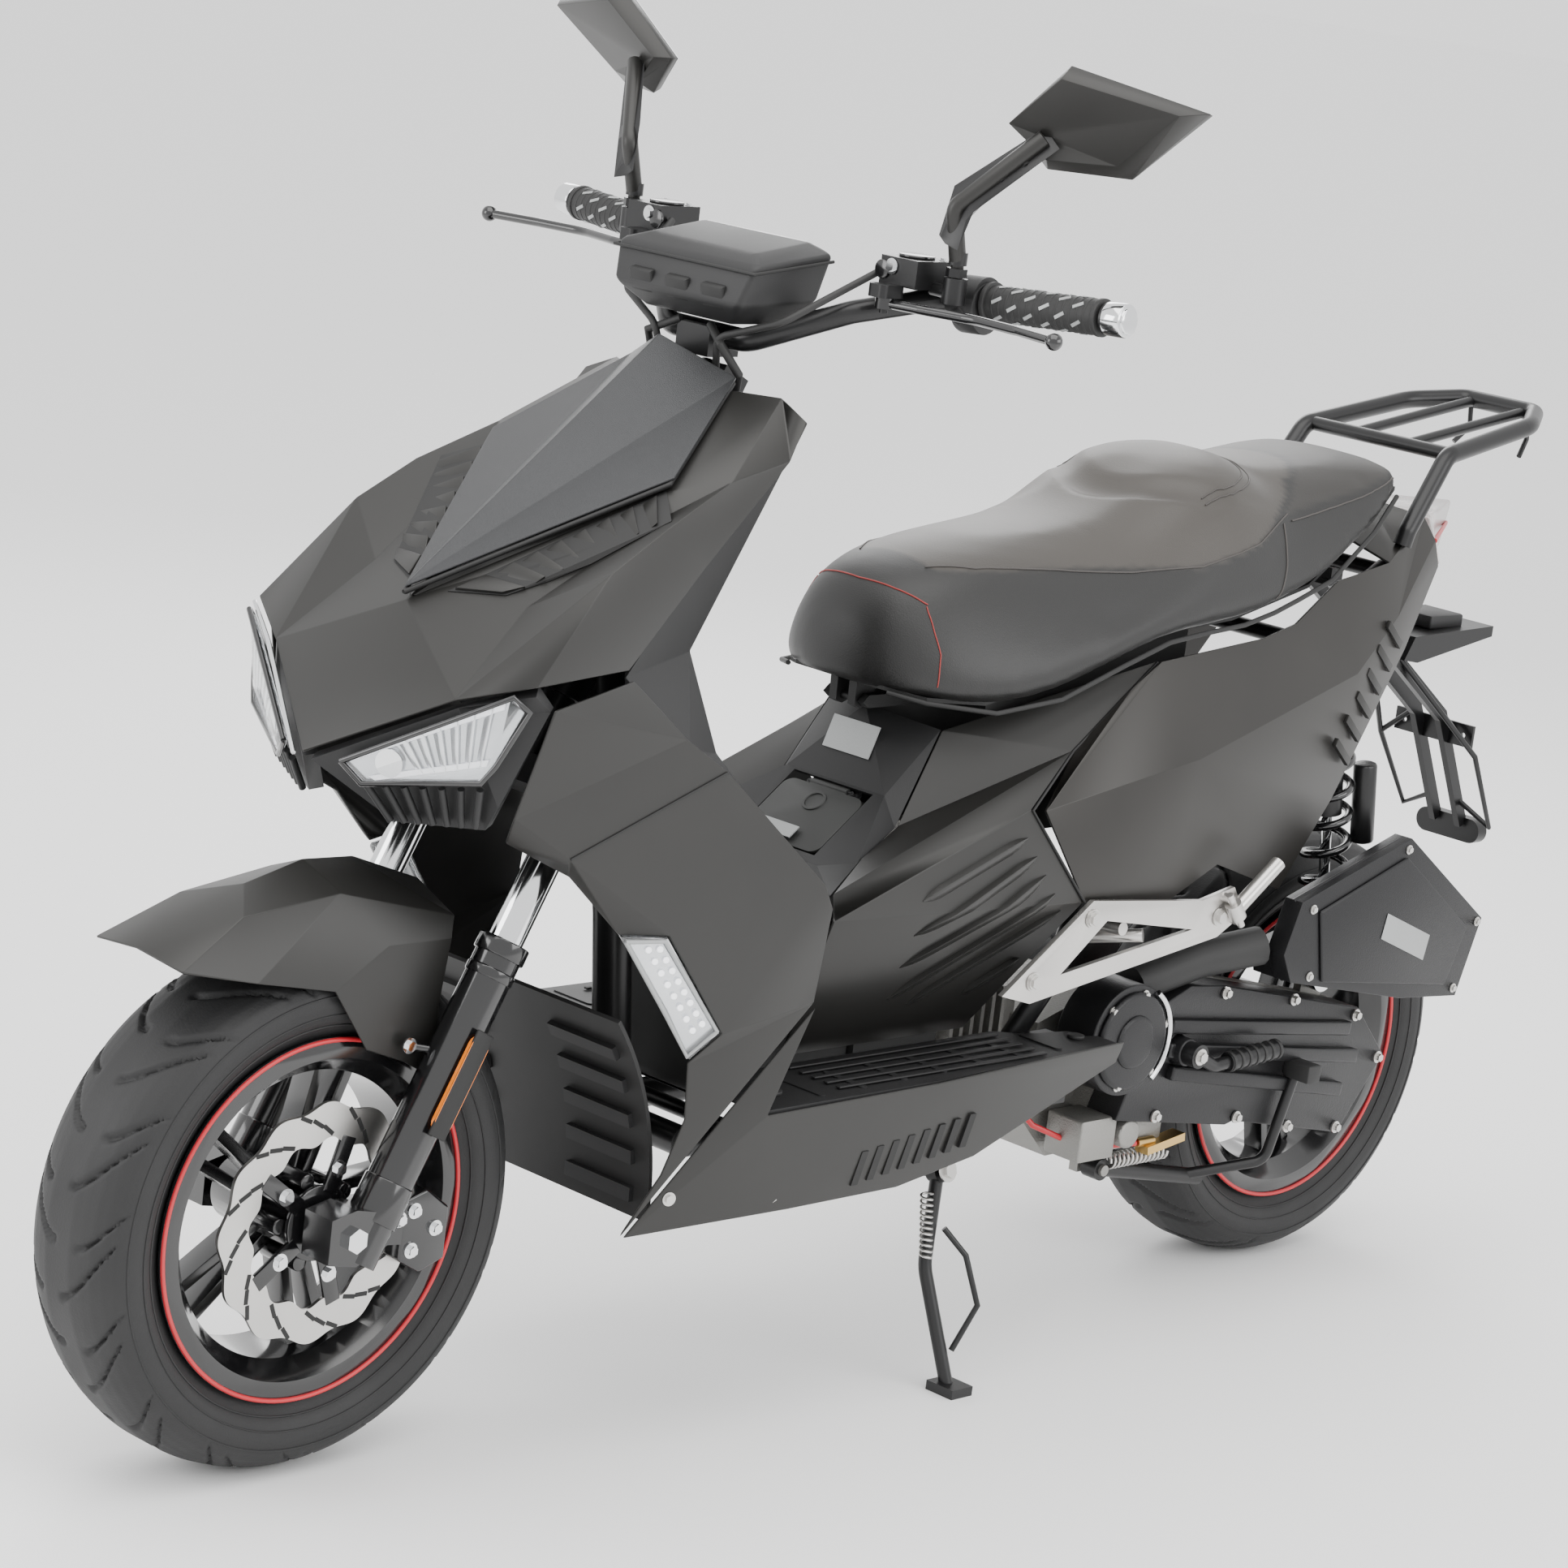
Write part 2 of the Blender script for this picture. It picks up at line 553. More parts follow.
# panel under the seat: plain plates, lock
n_door = Vector((0, -64, 84)).normalized()
for label, at, size in (("plate_lower", Vector((-0.012, -0.139, 0.5455)), (0.056, 0.016)),
                        ("plate_upper", Vector((0.0, -0.0565, 0.6345)), (0.064, 0.034))):
    n = n_door if label == "plate_lower" else Vector((0, -76, 30)).normalized()
    x = Vector((1, 0, 0))
    y = n.cross(x)
    bm = bmesh.new()
    c = at + n * 0.0015
    loop = [c + x * size[0] * sx / 2 + y * size[1] * sy / 2
            for sx, sy in ((-1, -1), (1, -1), (1, 1), (-1, 1))]
    slab(bm, loop, n, 0.0012)
    from_bmesh(label, bm, PLATE, "tank_door" if label == "plate_lower" else "chassis")

# ------------------------------------------------------------------ seat
#       y,  bottom w, z,   side w, z,   seam w, z,   shoulder w, z,  centre z
SEAT = [(-104, 26, 708, 30, 722, 27, 742, 16, 750, 752),
        (-94, 62, 698, 66, 722, 58, 756, 34, 776, 780),
        (-66, 100, 692, 104, 724, 82, 780, 52, 806, 812),
        (0, 134, 686, 134, 722, 92, 808, 58, 827, 831),
        (80, 146, 698, 146, 738, 96, 818, 60, 836, 840),
        (160, 151, 728, 151, 764, 106, 824, 66, 843, 847),
        (230, 151, 750, 150, 784, 120, 832, 80, 862, 860),
        (290, 150, 757, 148, 796, 128, 848, 92, 898, 888),
        (350, 148, 762, 144, 800, 130, 864, 92, 920, 916),
        (400, 145, 772, 141, 806, 124, 868, 88, 916, 922),
        (440, 142, 783, 136, 812, 116, 862, 84, 896, 902),
        (500, 136, 800, 130, 832, 114, 872, 88, 900, 904),
        (580, 122, 846, 120, 862, 110, 886, 90, 908, 912),
        (640, 100, 880, 104, 890, 100, 902, 84, 912, 915),
        (662, 78, 892, 82, 896, 78, 902, 66, 906, 908)]


def seat_line(col_w, col_z, y):
    for a, b in zip(SEAT[:-1], SEAT[1:]):
        if a[0] <= y <= b[0]:
            t = (y - a[0]) / (b[0] - a[0])
            return a[col_w] + (b[col_w] - a[col_w]) * t, a[col_z] + (b[col_z] - a[col_z]) * t
    end = SEAT[0] if y < SEAT[0][0] else SEAT[-1]
    return end[col_w], end[col_z]


bm = bmesh.new()
rings = []
for y, wb, zb, wm, zm, ws, zs, wt, zt, zc in SEAT:
    half = [(0, zb), (wb * 0.8, zb), (wb, zb + 4), (wm, zm), (ws, zs), (wt, zt), (0, zc)]
    loop = half + [(-x, z) for x, z in half[-2:0:-1]]
    rings.append([bm.verts.new(V(x, y, z)) for x, z in loop])
for a, b in zip(rings[:-1], rings[1:]):
    for i in range(len(a)):
        bm.faces.new((a[i], a[(i + 1) % len(a)], b[(i + 1) % len(a)], b[i]))
bm.faces.new(rings[0])
bm.faces.new(rings[-1][::-1])
seat = from_bmesh("seat_cover", bm, VINYL, "seat")
sub = seat.modifiers.new("s", "SUBSURF")
sub.levels = 2
bake(seat)
remesh = seat.modifiers.new("r", "REMESH")
remesh.mode = "VOXEL"
remesh.voxel_size = 0.007
bake(seat)
rest = [v.co.copy() for v in seat.data.vertices]
group = seat.vertex_groups.new(name="pin")
for v in seat.data.vertices:
    wz = seat_line(3, 4, v.co.y * 1000)[1]
    group.add([v.index], 1.0 if v.co.z * 1000 < wz - 6 else 0.0, "REPLACE")
cloth = seat.modifiers.new("c", "CLOTH")
s = cloth.settings
s.quality = 5
s.use_pressure = True
s.uniform_pressure_force = 4
s.vertex_group_mass = "pin"
s.tension_stiffness = 40
s.compression_stiffness = 40
s.bending_stiffness = 1.5
s.effector_weights.gravity = 0
cloth.point_cache.frame_start = 1
cloth.point_cache.frame_end = 16
scene = bpy.context.scene
for f in range(1, 17):
    scene.frame_set(f)
bake(seat)
scene.frame_set(1)
for v, r in zip(seat.data.vertices, rest):
    move = v.co - r
    if move.length > 0.005:
        v.co = r + move.normalized() * 0.005
smooth = seat.modifiers.new("sm", "SMOOTH")
smooth.factor = 0.5
smooth.iterations = 6
bake(seat)
# the sunk crescent in the bolster's front face
for v in seat.data.vertices:
    x, y, z = v.co * 1000
    if z > 840 and abs(x) < 112:
        d = abs(y - 262 - 0.006 * x * x) / 24
        if d < 1:
            v.co.z -= 0.009 * (1 - d * d) ** 1.3 * math.sqrt(1 - (x / 112) ** 2)
# where the pale top panel ends: its lower line by y, and a curved line across the bolster
TOP_LINE = [(-31, 812), (110, 816), (288, 820), (382, 840), (449, 870), (478, 896), (700, 905)]


def top_edge(y):
    for (y0, z0), (y1, z1) in zip(TOP_LINE[:-1], TOP_LINE[1:]):
        if y <= y1:
            return z0 + (z1 - z0) * max(0, (y - y0) / (y1 - y0))
    return TOP_LINE[-1][1]


panel = seat.data.attributes.new("top_panel", "FLOAT", "POINT")
for v in seat.data.vertices:
    x, y, z = v.co * 1000
    inside = min(z - top_edge(y), y + 30, 530 - 0.0085 * x * x - y)
    pillion = min(z - seat_line(5, 6, y)[1] - 2, y - 540 + 0.0085 * x * x)
    panel.data[v.index].value = max(min(1, max(0, inside / 3)), 0.35 * min(1, max(0, pillion / 3)))
nt = VINYL.node_tree
shade = nt.nodes["Principled BSDF"]
top_colour = shade.inputs["Base Color"].links[0].from_socket
which = nt.nodes.new("ShaderNodeAttribute")
which.attribute_name = "top_panel"
blend = nt.nodes.new("ShaderNodeMix")
blend.data_type = "RGBA"
blend.inputs[6].default_value = (0.0105, 0.0103, 0.0100, 1)
nt.links.new(which.outputs["Fac"], blend.inputs[0])
nt.links.new(top_colour, blend.inputs[7])
nt.links.new(blend.outputs[2], shade.inputs["Base Color"])
seat.data.shade_smooth()
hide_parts("seat_cushion")
seat_tree = BVHTree.FromObject(seat, bpy.context.evaluated_depsgraph_get())


def on_seat(points, lift=0.4):
    """Drops points (mm) onto the nearest place on the seat cover."""
    out = []
    for p in points:
        hit, normal, _, _ = seat_tree.find_nearest(V(*p))
        out.append((hit + normal * (lift / 1000)) * 1000)
    return out


def seam(name, points, radius, mat):
    fine = []
    for a, b in zip(points[:-1], points[1:]):
        steps = max(2, int((Vector(b) - Vector(a)).length / 6))
        fine += [lerp(a, b, k / steps) for k in range(steps)]
    fine.append(points[-1])
    tube(name, on_seat(fine), radius, mat, "seat")


def side_line(cw, cz, ys, side=1, extra=0):
    return [(side * (seat_line(cw, cz, y)[0] + extra), y, seat_line(cw, cz, y)[1]) for y in ys]


for side, tag in SIDES:
    edge = [(44, -31), (68, 14), (90, 110), (118, 201), (130, 288), (125, 382), (110, 449)]
    seam("seam_top_" + tag, [(side * x, y, top_edge(y)) for x, y in edge], 0.9, THREAD_DARK)
    seam("seam_front_" + tag, [(side * 84, -62, 790), (side * 112, -60, 744),
                               (side * 118, -66, 704)], 0.7, THREAD)
    seam("seam_pillion_" + tag, side_line(5, 6, range(452, 650, 12), side), 0.9, THREAD_DARK)
    seam("seam_step_" + tag, [(side * 116, 436, 860), (side * 134, 424, 818),
                              (side * 143, 410, 780)], 0.9, THREAD_DARK)
seam("seam_cross", [(-84, -60, 792), (-45, -74, 800), (0, -78, 800), (45, -74, 800),
                    (84, -60, 792)], 0.8, THREAD)
arc = [(118 * math.cos(math.radians(a)), 330 + 108 * math.sin(math.radians(a)), 900)
       for a in range(-10, 191, 8)]
seam("seam_bolster", arc, 0.9, THREAD_DARK)
arc = [(111 * math.cos(math.radians(a)), 327 + 101 * math.sin(math.radians(a)), 905)
       for a in range(-10, 191, 8)]
seam("seam_bolster_b", arc, 0.7, THREAD_DARK)
for side in (1, -1):
    tube("seat_lip_" + str(side), side_line(1, 2, (-90, -66, 0, 80, 160, 230, 290, 350, 400, 440,
                                                  500, 580, 640), side, 1), 2.6, DEEP, "seat")


# ------------------------------------------------------------------ wheels
PROFILE = [(44.5, 167), (50, 176.5), (53, 181), (59, 188), (62.5, 196), (64, 206), (62.5, 216),
           (58, 224.5), (50, 231.5), (40, 237), (29, 240.5), (17, 243), (8, 243), (0, 243)]


def groove_depth(theta, x, lead):
    """How deep the tread is cut at an angle and a place across the tyre, in millimetres."""
    count = 15
    depth = 0.0
    ax = abs(x)
    for phase, x0, x1, bend, wide in ((0.0, 6, 58, 0.62, 3.6), (0.5, 26, 61, 0.42, 3.2)):
        if not x0 - 4 < ax < x1 + 2:
            continue
        t = min(1, max(0, (ax - x0) / (x1 - x0)))
        centre = lead * bend * (t ** 1.6) + phase + (0.5 if x < 0 else 0)
        turn = theta / (TURN) * count - centre
        off = (turn - round(turn)) * TURN * 240 / count
        thin = wide * (1.0 - 0.35 * t)
        edge = min(1, max(0, (thin + 1.2 - abs(off)) / 2.4))
        ends = min(1, (ax - x0 + 4) / 5, (x1 + 2 - ax) / 5)
        depth = max(depth, 4.6 * edge * max(0, ends))
    return depth


def tyre(name, node, axle, body, lead):
    mirror = [(-x, r) for x, r in PROFILE[-2::-1]]
    outline = []
    full = PROFILE + mirror
    for (x0, r0), (x1, r1) in zip(full[:-1], full[1:]):
        n = max(1, int(math.hypot(x1 - x0, r1 - r0) / 2.6))
        outline += [(x0 + (x1 - x0) * k / n, r0 + (r1 - r0) * k / n) for k in range(n)]
    outline.append(full[-1])
    around = 560
    verts, faces = [], []
    for i in range(around):
        th = TURN * i / around
        for x, r in outline:
            rr = r - (groove_depth(th, x, lead) if r > 214 else 0)
            verts.append(V(*on_wheel(axle, x, rr, th)))
    n = len(outline)
    for i in range(around):
        j = (i + 1) % around
        for k in range(n - 1):
            faces.append((i * n + k, i * n + k + 1, j * n + k + 1, j * n + k))
        faces.append((i * n + n - 1, i * n, j * n, j * n + n - 1))
    mesh = bpy.data.meshes.new(name)
    mesh.from_pydata(verts, [], faces)
    mesh.validate()
    bm = bmesh.new()
    bm.from_mesh(mesh)
    obj = from_bmesh(name, bm, TYRE, body)
    obj.data.set_sharp_from_angle(angle=math.radians(60))
    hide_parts(node)
    for x in (-52.5, 52.5):
        for r, rad in ((214, 0.8), (196, 0.8), (184, 1.0)):
            wide = {214: 63.0, 196: 62.6, 184: 56.0}[r] * (1 if x > 0 else -1)
            loop = [on_wheel(axle, wide, r, a)
                    for a in (TURN * q / 120 for q in range(120))]
            tube("%s_ring_%d_%d" % (name, r, x > 0), loop, rad, TYRE, body, closed=True)


def ring_line(name, x, axle, radius, thick, mat, body):
    loop = [on_wheel(axle, x, radius, a)
            for a in (TURN * q / 128 for q in range(128))]
    tube(name, loop, thick, mat, body, closed=True)


tyre("front_tread", "front_tyre", FRONT_AXLE, "front_wheel", -1)
tyre("rear_tread", "rear_tyre", REAR_AXLE, "rear_wheel", 1)
for which, axle, body in (("front", FRONT_AXLE, "front_wheel"), ("rear", REAR_AXLE, "rear_wheel")):
    soften(which + "_rim", GLOSS, 1.6, 2, angle=32)
    for x in (54.2, -54.2):
        ring_line("%s_stripe_%d" % (which, x > 0), x, axle, STRIPE_R, 2.3, RED, body)
    bm = bmesh.new()
    for turn in range(0, 360, 72):
        a = math.radians(turn + 36)
        cyl(bm, on_wheel(axle, 30, 40, a), (1, 0, 0), 8, 50, 20)
    bevelled(from_bmesh(which + "_hub_posts", bm, GLOSS, body), 1.5)
bm = bmesh.new()
for turn in range(0, 360, 72):
    a = math.radians(turn)
    bolt(bm, on_wheel(FRONT_AXLE, 61.6, 52, a), (1, 0, 0), 5.5, 5)
from_bmesh("disc_bolts", bm, CHROME, "front_wheel")

# wave disc with slanted slots and a black carrier
bm = bmesh.new()
outer, inner = [], []
N = 360
for i in range(N):
    a = TURN * i / N
    r = 111.5 + 3.2 * math.cos(12 * a)
    r2 = 78 + 3.4 * math.cos(12 * a + 0.8)
    outer.append((r, a))
    inner.append((r2, a))


def disc_vert(x, r, a):
    return bm.verts.new(V(*on_wheel(FRONT_AXLE, x, r, a)))


loops = [[disc_vert(x, r, a) for r, a in line] for line, x in
         ((outer, 57.6), (outer, 61.4), (inner, 61.4), (inner, 57.6))]
for a, b in zip(loops, loops[1:] + loops[:1]):
    for i in range(N):
        bm.faces.new((a[i], a[(i + 1) % N], b[(i + 1) % N], b[i]))
disc = from_bmesh("wave_disc", bm, STEEL, "front_wheel")
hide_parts("front_disc")
bm = bmesh.new()
for k in range(12):
    for dr, da in ((88, 0.0), (96, 0.13), (104, 0.26)):
        a = TURN * k / 12 + da
        turn = Matrix.Rotation(a + 0.9, 3, "X")
        block(bm, on_wheel(FRONT_AXLE, 61.5, dr, a), (0.5, 14, 4.2), turn)
from_bmesh("disc_slots", bm, DEEP, "front_wheel")
bm = bmesh.new()
for k in range(5):
    a = TURN * k / 5
    turn = Matrix.Rotation(a, 3, "X")
    block(bm, on_wheel(FRONT_AXLE, 59.5, 56, a), (5, 54, 17), turn)
cyl(bm, (58.5, -741, 243), (1, 0, 0), 36, 5, 48)
bevelled(from_bmesh("disc_carrier", bm, GLOSS, "front_wheel"), 1.2)
bm = bmesh.new()
cyl(bm, (113, -741, 243), (1, 0, 0), 12, 7, 6)
cyl(bm, (-113, -741, 243), (1, 0, 0), 12, 7, 6)
for y, z in ((-655, 214), (-655, 252), (-628, 232), (-672, 246)):
    bolt(bm, (91, y, z), (1, 0, 0), 5, 5)
from_bmesh("axle_bolts", bm, CHROME, "fork")

# ------------------------------------------------------------------ fork, bars, mirrors
RAKE = math.radians(27)
LEAN = Vector((0, math.sin(RAKE), math.cos(RAKE)))


def leg(z, side=1):
    return (side * 92, -835 + z * math.tan(RAKE), z)


def fork_details(side, tag):
    """Seals, collars, fender bolt and reflector frame of one fork leg."""
    bm = bmesh.new()
    cyl(bm, leg(492, side), LEAN, 24.5, 16, 40)
    cyl(bm, leg(470, side), LEAN, 23.2, 10, 40)
    cyl(bm, leg(268, side), LEAN, 24.2, 40, 40, 0.97)
    bevelled(from_bmesh("fork_collar_" + tag, bm, GLOSS, "fork"), 1.5)
    bm = bmesh.new()
    bolt(bm, (side * 80, -672, 407), (side, 0, 0), 5, 4)
    from_bmesh("fender_bolt_" + tag, bm, CHROME, "fork")
    mid = leg(378)
    bm = bmesh.new()
    block(bm, (side * 121, mid[1], mid[2]), (3, 22, 104), Matrix.Rotation(-RAKE, 3, "X"))
    bevelled(from_bmesh("reflector_back_" + tag, bm, DEEP, "fork"), 1.2)


def bar_details(side, tag):
    """Ribbed grip with pale dashes, bar end, switch pod, reservoir cap and screws."""
    run = Vector((side * 201, 18.4, 11.2)).normalized()
    root = Vector((side * 175, -190, 1102)) + run * 9
    body = "steering" if side > 0 else "throttle"
    bm = bmesh.new()
    for k in (42, 166):
        cyl(bm, root + run * k, run, 19.5 if k == 42 else 17.6, 5, 36)
    for k in range(14):
        cyl(bm, root + run * (52 + 8 * k), run, 16.9, 2.4, 36)
    bevelled(from_bmesh("grip_ribs_" + tag, bm, RUBBER, body), 0.6)
    bm = bmesh.new()
    around = run.orthogonal().normalized()
    for ringk in range(6):
        for turn in range(6):
            q = Matrix.Rotation(math.radians(60 * turn + 20 * ringk), 3, run)
            out = q @ around
            at = root + run * (58 + 18 * ringk) + out * 16.9
            basis = Matrix((run, out.cross(run), out)).transposed() @ Matrix.Rotation(0.5, 3, "Z")
            block(bm, at, (11, 3.2, 0.8), basis)
    from_bmesh("grip_dashes_" + tag, bm, PLATE, body)
    bm = bmesh.new()
    cyl(bm, root + run * 184, run, 15.6, 21, 40)
    cyl(bm, root + run * 195, run, 12.5, 4, 40)
    bevelled(from_bmesh("bar_end_" + tag, bm, CHROME, "steering"), 1.5)
    bm = bmesh.new()
    pod = root + run * 24
    cyl(bm, pod + Vector((0, 0, -6)), run, 24.5, 26, 40)
    cyl(bm, pod + Vector((0, 0, -20)), (0, 0, 1), 11, 14, 24)
    cyl(bm, pod + Vector((0, -14, -14)), (0, 1, 0), 8, 24, 20)
    bevelled(from_bmesh("switch_shell_" + tag, bm, TRIM, "steering"), 2.0)
    bm = bmesh.new()
    cyl(bm, (side * 168, -232, 1138.5), (0, 0, 1), 17, 3, 32)
    cyl(bm, (side * 152, -259, 1124), (0, 1, 0), 9, 3, 24)
    bevelled(from_bmesh("reservoir_cap_" + tag, bm, GLOSS, "steering"), 0.8)
    bm = bmesh.new()
    for x in (154, 186):
        bolt(bm, (side * x, -216, 1137), (0, 0, 1), 2.6, 2.5)
    bolt(bm, (side * 163, -259, 1128), (0, -1, 0), 5, 3)
    from_bmesh("perch_screws_" + tag, bm, CHROME, "steering")


def mirror_details(side, tag):
    """Glass on the rear face, flat arm with cut-outs and the stem's nut."""
    glass = [(231, -178.6, 1271), (298, -186, 1325), (423, -147.8, 1303.6), (335.5, -133.8, 1239.6),
             (264.5, -164.8, 1238)]
    mbody = "mirror_l" if side > 0 else "mirror_r"
    plate_on("mirror_glass_" + tag, [(side * x, y, z) for x, y, z in glass], 0.1, 0.6, GLASS,
             mbody, (side * 320, -190, 1280), 0.2)
    bm = bmesh.new()
    arm = [(209, -247, 1160), (226, -247, 1156), (233, -240, 1192), (284, -192, 1258),
           (270, -190, 1268), (214, -240, 1206)]
    pts = [V(side * x, y, z) for x, y, z in arm]
    n = (pts[2] - pts[0]).cross(pts[3] - pts[0]).normalized()
    prism(bm, [p - n * 0.0055 for p in pts], [p + n * 0.0055 for p in pts])
    bevelled(from_bmesh("mirror_arm_" + tag, bm, FRAME, mbody), 1.4)
    bm = bmesh.new()
    for t in (0.15, 0.45, 0.75):
        c = lerp((222, -238, 1196), (272, -196, 1254), t)
        cyl(bm, (side * c[0], c[1], c[2]), n, 5.0 - 1.5 * t, 12.6, 6)
    from_bmesh("mirror_arm_holes_" + tag, bm, DEEP, mbody)
    bm = bmesh.new()
    cyl(bm, (side * 217, -230, 1131), (0, 0, 1), 10, 8, 6)
    cyl(bm, (side * 217, -230, 1144), (0, 0, 1), 8.5, 12, 24)
    from_bmesh("mirror_nut_" + tag, bm, FRAME, mbody)
    bm = bmesh.new()
    bolt(bm, (side * 168, -268, 1101), (0, 0, 1), 4, 0.1)
    from_bmesh("lever_screw_" + tag, bm, STEEL, "steering")


for side, tag in SIDES:
    fork_details(side, tag)
    bar_details(side, tag)
    mirror_details(side, tag)

# dash: screen and lower casing lines
plate_on("dash_screen", [(78, -283, 1129.5), (-78, -283, 1129.5), (-66, -272, 1134.5),
                         (66, -272, 1134.5)], 0.5, 1.0, GLOSS, "steering", (0, -320, 1090), 0.3)
tube("dash_line", [(94, -264, 1121), (94, -365, 1108), (-94, -365, 1108), (-94, -264, 1121)], 1.6,
     DEEP, "steering")
bm = bmesh.new()
for x in (-48, 0, 48):
    block(bm, (x, -366, 1082), (30, 10, 22), Matrix.Rotation(0.3, 3, "X"))
bevelled(from_bmesh("dash_plugs", bm, DEEP, "steering"), 2.0)
tube("loom_a", [(20, -340, 1050), (48, -352, 1036), (60, -336, 1010), (40, -318, 985)], 4.2,
     RUBBER, "steering")
tube("loom_b", [(-20, -340, 1050), (-52, -350, 1034), (-58, -334, 1006), (-36, -316, 982)], 4.2,
     RUBBER, "steering")

# ignition surround and its keyhole
bm = bmesh.new()
lock_out = Vector((-0.10, 0.885, -0.455)).normalized()
cyl(bm, Vector((58, -346.5, 850)) + lock_out * 3.5, lock_out, 19, 5, 40)
bevelled(from_bmesh("lock_ring", bm, TRIM, "chassis"), 1.5)

# ------------------------------------------------------------------ engine side
bm = bmesh.new()
cyl(bm, (150, 262, 325), (1, 0, 0), 54, 6, 64, 0.94)
cyl(bm, (154.5, 262, 325), (1, 0, 0), 30, 5, 48, 0.9)
for y0, z0, y1, z1 in ((330, 332, 640, 296), (330, 306, 660, 262), (340, 280, 640, 226)):
    p = (142, (y0 + y1) / 2, (z0 + z1) / 2)
    turn = Matrix.Rotation(math.atan2(z1 - z0, y1 - y0), 3, "X")
    block(bm, p, (12, math.hypot(y1 - y0, z1 - z0), 16), turn)
bevelled(from_bmesh("drive_cover_ribs", bm, CAST, "engine"), 4.0, 3)
bm = bmesh.new()
for y, z in ((318, 344), (420, 358), (540, 338), (655, 308), (706, 254), (648, 180), (560, 192),
             (468, 214), (330, 232)):
    bolt(bm, (140, y, z), (1, 0, 0), 4.5, 5)
for k in range(6):
    a = math.radians(60 * k + 15)
    bolt(bm, (148, 262 + 50 * math.cos(a), 325 + 50 * math.sin(a)), (1, 0, 0), 3.5, 4)
bolt(bm, (172, 351, 304), (1, 0, 0), 6, 5)
from_bmesh("drive_cover_bolts", bm, STEEL, "engine")
arc = [(150.5, 262 + 58 * math.cos(math.radians(a)), 325 + 58 * math.sin(math.radians(a)))
       for a in range(-50, 60, 6)]
tube("drive_cover_crescent", arc, 3.4, CHROME, "engine")
plate_on("air_box_panel", [(184, 500, 452), (184, 642, 500), (184, 770, 412), (184, 744, 346),
                           (184, 520, 372)], 0.2, 4.0, CAST, "engine", (150, 600, 420), 2.0)
plate_on("air_box_label", [(188.4, 618, 440), (188.4, 700, 408), (188.4, 694, 380),
                           (188.4, 612, 412)], 0.2, 0.6, PLATE, "engine", (150, 600, 420), 0.2)
for a, b in (((470, 462), (648, 517)), ((648, 517), (804, 416)), ((804, 416), (770, 333)),
             ((770, 333), (470, 378))):
    tube("air_box_lip_%d" % a[0], [(172, *a), (172, *b)], 3.0, CAST, "engine")
bm = bmesh.new()
for y, z in ((490, 455), (644, 508), (790, 414), (764, 340), (500, 380)):
    bolt(bm, (185, y, z), (1, 0, 0), 3.5, 3)
from_bmesh("air_box_screws", bm, STEEL, "engine")
tube("intake_duct", [(110, 300, 372), (126, 380, 396), (150, 452, 410)], 21, RUBBER, "engine")
bm = bmesh.new()
block(bm, (118, 372, 192), (18, 60, 9), Matrix.Rotation(0.15, 3, "X"))
cyl(bm, (118, 345, 196), (0, 1, 0), 5, 26, 16)
from_bmesh("brake_bracket", bm, BRASS, "engine")
tube("brake_cable", [(118, 330, 196), (114, 250, 200), (92, 190, 226), (70, 176, 250)], 3.2, RED,
     "engine")
coil = [(106 + 8 * math.cos(t * 0.55), 300 + t * 0.62, 176 + 8 * math.sin(t * 0.55))
        for t in range(150)]
tube("stand_spring", coil, 1.5, STEEL, "engine")
bm = bmesh.new()
block(bm, (108, 250, 214), (50, 56, 46))
block(bm, (100, 330, 206), (30, 90, 30))
cyl(bm, (104, 300, 214), (1, 0, 0), 16, 60, 28)
bevelled(from_bmesh("engine_lugs", bm, CASTING, "engine"), 3.0)
bm = bmesh.new()
for k in range(7):
    t = 24 + 12 * k
    kb, kr = Vector((164, 386, 288)), Vector((4, 96, 9)).normalized()
    cyl(bm, kb + kr * t, kr, 11.2, 4, 24)
bevelled(from_bmesh("kick_ribs", bm, RUBBER, "kick_starter"), 0.8)
bm = bmesh.new()
block(bm, (158, 548, 262), (36, 22, 20))
bevelled(from_bmesh("stand_pad", bm, RUBBER, "centre_stand"), 2.5)

# muffler: heat shield, end cap
bm = bmesh.new()
cyl(bm, (-150, 545, 308.5), (0, 346, 18), 51.5, 210, 64)
cyl(bm, (-150, 727, 318), (0, 346, 18), 44, 10, 64)
bevelled(from_bmesh("muffler_shield", bm, CAST, "engine"), 3.0)

# shock: reservoir and collars
bm = bmesh.new()
cyl(bm, (118, 640, 545), (0, -0.156, 0.988), 13, 90, 32)
bevelled(from_bmesh("shock_reservoir", bm, FRAME, "chassis"), 3.0)

# side stand: foot, wire loop and return spring
tube("stand_loop", [(150, 6, 158), (168, 24, 132), (190, 26, 86), (184, 2, 40)], 3.2, FRAME,
     "side_stand")
coil = [(140 + 6 * math.cos(t * 0.6) + t * 0.10, -16 + 6 * math.sin(t * 0.6) - t * 0.02,
         196 - t * 0.55) for t in range(120)]
tube("side_spring", coil, 1.3, STEEL, "side_stand")
bm = bmesh.new()
bolt(bm, (141.5, 10, 216), (0.96, 0, 0.28), 8, 5)
from_bmesh("stand_bolt", bm, STEEL, "chassis")

